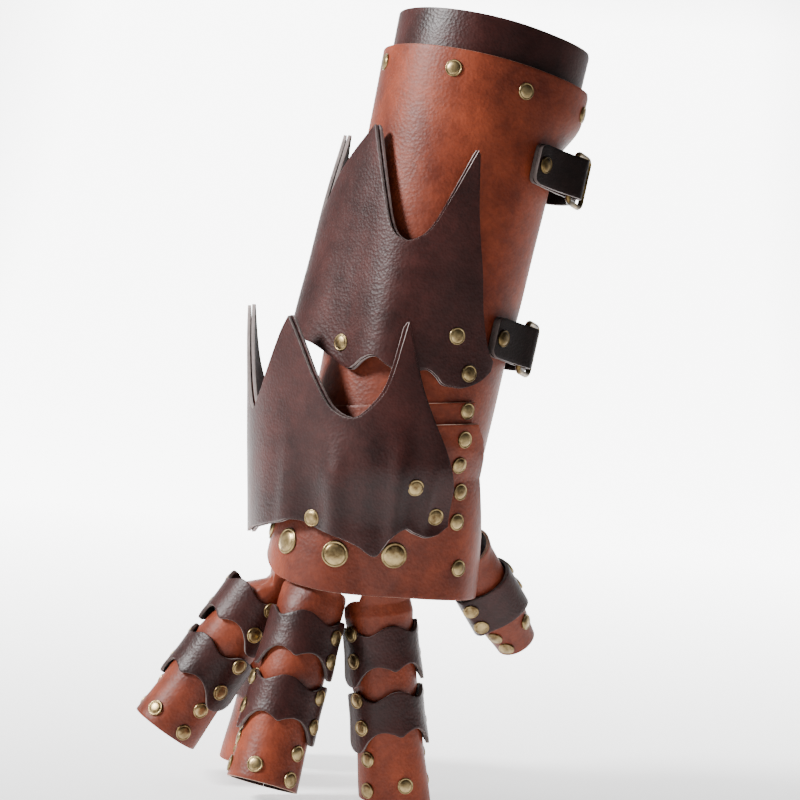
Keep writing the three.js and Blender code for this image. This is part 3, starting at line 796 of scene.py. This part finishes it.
for name, closure in CLOSURES.items():
    height, reach = closure["height"], closure["reach"]
    leather(
        name + "_tab_hide", 140, 10, strap_place(TAB, height, reach, TAB_STACK), STRAP_HIDE,
        SHADED_STRAP_LOOKS, (name + "_tab",), 0.06, 0.022,
    )
    leather(
        name + "_billet_hide", 60, 10, strap_place(BILLET, height, reach), STRAP_HIDE,
        SHADED_STRAP_LOOKS, (name + "_billet",), 0.06, 0.022,
    )
    radius = even_radius(height)
    near = forearm.at(77, height, radius + 11.4 * reach)
    far = forearm.at(94, height, radius + 18.6 * reach)
    ahead = (far - near).normalized()
    corners_of_frame = []
    for x, y, from_angle in FRAME_CORNERS:
        for step in range(6):
            a = math.radians(from_angle + 18 * step)
            spot = near + ahead * (x - 1 + 4 * math.cos(a)) + forearm.up * (y + 3 * math.sin(a))
            corners_of_frame.append(spot)
    rod(name + "_buckle_frame", corners_of_frame, FRAME_ROD, (name + "_buckle",))


# Rivets: antique-brass caps with a flat flange round a low dome. 13 mm ones sit over the knuckles,
# 8.5 mm ones on the cuff, its tabs, the plates and the hand, and 8 mm ones on the fingers and thumb.
# Each is pressed tight onto the leather, square to the face under it.
LARGE_CAP = 13.0
PLAIN_CAP = 8.5
SMALL_CAP = 8.0


def dome(bm, seat, outward, cap):
    """One cap, turned from half its profile and seated with its flange on the leather."""
    r = cap / 2000
    foot = r * 0.82
    rise = r * 0.22
    profile = [
        (0.0, -0.0006), (r * 0.97, -0.0006), (r, -0.0001), (r * 0.995, 0.0005),
        (r * 0.93, 0.0008), (r * 0.86, 0.00075), (foot, 0.0005),
    ]
    for step in range(2, 8):
        a = math.radians(90 * step / 7)
        profile.append((foot * math.cos(a) ** 0.8 if step < 7 else 0.0, 0.0004 + rise * math.sin(a)))
    verts = [bm.verts.new((x, 0, z)) for x, z in profile]
    edges = [bm.edges.new(pair) for pair in zip(verts, verts[1:])]
    bmesh.ops.spin(
        bm, geom=verts + edges, cent=(0, 0, 0), axis=(0, 0, 1), angle=math.tau, steps=28,
        use_merge=True, use_duplicate=False,
    )
    whole = set(verts)
    grown = list(verts)
    while grown:
        vert = grown.pop()
        for edge in vert.link_edges:
            other = edge.other_vert(vert)
            if other not in whole:
                whole.add(other)
                grown.append(other)
    pose = Matrix.Translation(in_frame(seat)) @ outward.to_track_quat("Z", "Y").to_matrix().to_4x4()
    bmesh.ops.transform(bm, matrix=pose, verts=list(whole))


def rivets(name, spots, cap, stands_for=()):
    mesh = bpy.data.meshes.new(name)
    bm = bmesh.new()
    for limb, face, angle, height in spots:
        at = lambda a, h: limb.at(a, h, face(a, h))
        around = at(angle + 2, height) - at(angle - 2, height)
        along = at(angle, height + 2) - at(angle, height - 2)
        outward = around.cross(along).normalized()
        dome(bm, at(angle, height), outward, cap)
    bmesh.ops.remove_doubles(bm, verts=bm.verts, dist=1e-6)
    bmesh.ops.recalc_face_normals(bm, faces=bm.faces)
    for face in bm.faces:
        face.smooth = True
    bm.to_mesh(mesh)
    bm.free()
    mesh.materials.append(BRASS)
    piece = bpy.data.objects.new(name, mesh)
    bpy.context.scene.collection.objects.link(piece)
    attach(piece, "root")
    if stands_for:
        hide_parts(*stands_for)
    return piece


def row_of_rivets(place, spots):
    """The plain caps of one row, each standing for its own solid rivet."""
    solids = ["rivet_" + place + "_" + str(i + 1) for i in range(len(spots))]
    rivets(place + "_rivets", spots, PLAIN_CAP, solids)


CUFF_ROW = ((-73, 177.3), (-15, 175.5), (30, 173.2), (82, 174.5))
UPPER_ROW = ((-46, 33.6), (20, 48), (33, 32))
SIDE_ROW = ((43, 94.6), (41, 80.7), (41, 68.0), (47, 55.1), (48, 40.3), (54, 17.8))
LOWER_ROW = ((-29, 6.3), (16, 20.8), (26, 6.8))
row_of_rivets("cuff", [(forearm, cuff_radius, *s) for s in CUFF_ROW])
row_of_rivets("upper", [(forearm, upper_face, *s) for s in UPPER_ROW])
row_of_rivets("side", [(hand, strip_face if i == 0 else hand_face, *s) for i, s in enumerate(SIDE_ROW)])
row_of_rivets("lower", [(lower_axis, lower_face, *s) for s in LOWER_ROW])
for name, spot in KNUCKLE_RIVETS.items():
    rivets(name + "_knuckle_rivet", [(hand, hand_face, *spot)], LARGE_CAP, ("rivet_knuckle_" + name,))
for name, closure in CLOSURES.items():
    face = lambda a, h: cuff_radius(a, h) + TAB_SEAT + STRAP_HIDE
    spot = (forearm, face, 52, closure["height"])
    held = rivets(name + "_tab_rivet", [spot], PLAIN_CAP, ("rivet_" + name + "_tab",))
    # The tab rivet takes the darkened closure brass, which is painted shade.
    held.data.materials[0] = CLOSURE_BRASS_SHADE

SMALL = {
    "index": dict(
        band_1=((-48, 86), (-47, 72.5), (118, 84), (118, 72)),
        band_2=((-48, 53), (-42, 39.5), (118, 52), (118, 38)),
        tip=((-42, 23.4), (-46, 8), (21, 9.6), (118, 22), (118, 8)),
    ),
    "middle": dict(
        band_1=((58, 80.4), (60, 68.5), (-118, 84), (-118, 70)),
        band_2=((-74, 52.4), (-78, 38), (59, 50.3), (62, 36)),
        tip=((-86, 22.9), (-86, 9.5), (-19, 11.2), (49, 21.5), (46, 8.4)),
    ),
    "ring": dict(
        band_1=((26, 69.6), (26, 84), (-118, 84), (-118, 70)),
        band_2=((38, 52.3), (36, 36.9), (-118, 52), (-118, 37)),
        tip=((-36, 12.2), (31, 23.9), (27, 10.4), (-118, 24), (-118, 10)),
    ),
    "little": dict(
        band_1=((-25, 84), (-25, 70), (-125, 84), (-125, 70)),
        band_2=((-25, 52), (-25, 38), (-125, 52), (-125, 38)),
        tip=((-25, 22), (-25, 9), (-125, 22), (-125, 9)),
    ),
}
for name, groups in SMALL.items():
    spots = []
    for number, middle in enumerate(BAND_MIDDLES, 1):
        face = band_face(middle)
        spots += [(limbs[name], face, *spot) for spot in groups["band_" + str(number)]]
    spots += [(limbs[name], lambda a, h: tip_radius(h), *spot) for spot in groups["tip"]]
    rivets(name + "_small_rivets", spots, SMALL_CAP)
THUMB_SMALL = ((-41, 39), (-39, 27.5), (110, 39), (110, 28))
THUMB_LOW = ((-40, 14.6), (-30, 5.5), (52, 13), (110, 20))
spots = [(thumb, thumb_band_face, *s) for s in THUMB_SMALL]
spots += [(thumb, thumb_tip_face, *s) for s in THUMB_LOW]
rivets("thumb_small_rivets", spots, SMALL_CAP)


# Studio: a pale seamless sweep under soft light from the upper left, and the camera of the photo.
# The floor runs up in a wide curve far behind, so that no horizon shows.
SWEEP_WIDTH = 16
SWEEP_NEAR = -8
SWEEP_FAR = 1.6
SWEEP_CURVE = 1.4
PHOTO_AIM = Vector((0, 0, 197))
PHOTO_DISTANCE = 1333.33

sweep_mesh = bpy.data.meshes.new("sweep")
bm = bmesh.new()
bmesh.ops.create_grid(bm, x_segments=2, y_segments=48, size=0.5)
for vert in bm.verts:
    t = vert.co.y + 0.5
    turn = ease(t, 0.45, 0.85) * math.pi / 2
    flat = min(t, 0.45) / 0.45
    vert.co = (
        vert.co.x * SWEEP_WIDTH,
        lerp(SWEEP_NEAR, SWEEP_FAR, flat) + SWEEP_CURVE * math.sin(turn),
        SWEEP_CURVE * (1 - math.cos(turn)) + max(0.0, t - 0.85) * 16,
    )
for face in bm.faces:
    face.smooth = True
bm.to_mesh(sweep_mesh)
bm.free()
sweep = bpy.data.objects.new("studio_sweep", sweep_mesh)
bpy.context.scene.collection.objects.link(sweep)
paper = bpy.data.materials.new("paper")
paper.use_nodes = True
paper_skin = paper.node_tree.nodes["Principled BSDF"]
paper_skin.inputs["Base Color"].default_value = (0.9, 0.9, 0.9, 1)
paper_skin.inputs["Roughness"].default_value = 0.9
paper_skin.inputs["Specular IOR Level"].default_value = 0.1
paper_skin.inputs["Emission Color"].default_value = (1, 1, 1, 1)
paper_place = node_of(paper.node_tree, "ShaderNodeTexCoord")
paper_axes = node_of(paper.node_tree, "ShaderNodeSeparateXYZ")
paper.node_tree.links.new(paper_place.outputs["Object"], paper_axes.inputs["Vector"])


def fade(axis, start, end, low, high):
    """Glow of the paper along one of its axes, so that only the part behind the gauntlet is bright."""
    source = paper_axes.outputs[axis]
    if axis == "X":
        away = node_of(paper.node_tree, "ShaderNodeMath", operation="ABSOLUTE")
        paper.node_tree.links.new(source, away.inputs[0])
        source = away.outputs[0]
    return ranged(paper.node_tree, source, start, end, low, high)


# The paper's glow is painted light: faint under and before the gauntlet, strongest on the sweep behind it,
# fading to the sides and up the curve.
glow = fade("Y", -0.1, 1.1, 0.8, 7.0)
for other in (fade("X", 0.5, 0.9, 1.0, 0.12), fade("Z", 0.6, 0.9, 1.0, 0.04)):
    both = node_of(paper.node_tree, "ShaderNodeMath", operation="MULTIPLY")
    paper.node_tree.links.new(glow, both.inputs[0])
    paper.node_tree.links.new(other, both.inputs[1])
    glow = both.outputs[0]
paper.node_tree.links.new(glow, paper_skin.inputs["Emission Strength"])
sweep_mesh.materials.append(paper)


def panel(name, place, target, size, power):
    light = bpy.data.lights.new(name, "AREA")
    light.shape = "DISK"
    light.size = size
    light.energy = power
    lamp = bpy.data.objects.new(name, light)
    lamp.location = place
    lamp.rotation_euler = (Vector(target) - Vector(place)).to_track_quat("-Z", "Y").to_euler()
    bpy.context.scene.collection.objects.link(lamp)
    return lamp


lamps = [
    panel("key_panel", (-1.65, -0.55, 1.3), (0, 0, 0.2), 0.5, 105),
    panel("fill_panel", (1.2, -2.0, 0.7), (0, 0, 0.2), 1.0, 1.5),
    panel("back_panel", (-0.7, 1.0, 1.6), (0, 0.1, 0.1), 1.2, 10),
]
world = bpy.data.worlds.new("studio_air")
world.use_nodes = True
world.node_tree.nodes["Background"].inputs["Color"].default_value = (1, 1, 1, 1)
world.node_tree.nodes["Background"].inputs["Strength"].default_value = 0.1
bpy.context.scene.world = world

lens = bpy.data.cameras.new("photo_camera")
lens.lens = 120
lens.sensor_width = 36
lens.clip_end = 30
camera = bpy.data.objects.new("photo_camera", lens)
down, roll = math.radians(4), math.radians(5)
ahead = Vector((0, math.cos(down), -math.sin(down)))
side = Vector((1, 0, 0))
over = Vector((0, math.sin(down), math.cos(down)))
right = side * math.cos(roll) + over * math.sin(roll)
top = over * math.cos(roll) - side * math.sin(roll)
stand = in_frame(PHOTO_AIM - ahead * PHOTO_DISTANCE)
camera.matrix_world = Matrix((
    (right.x, top.x, -ahead.x, stand.x),
    (right.y, top.y, -ahead.y, stand.y),
    (right.z, top.z, -ahead.z, stand.z),
    (0, 0, 0, 1),
))
bpy.context.scene.collection.objects.link(camera)
bpy.context.scene.camera = camera
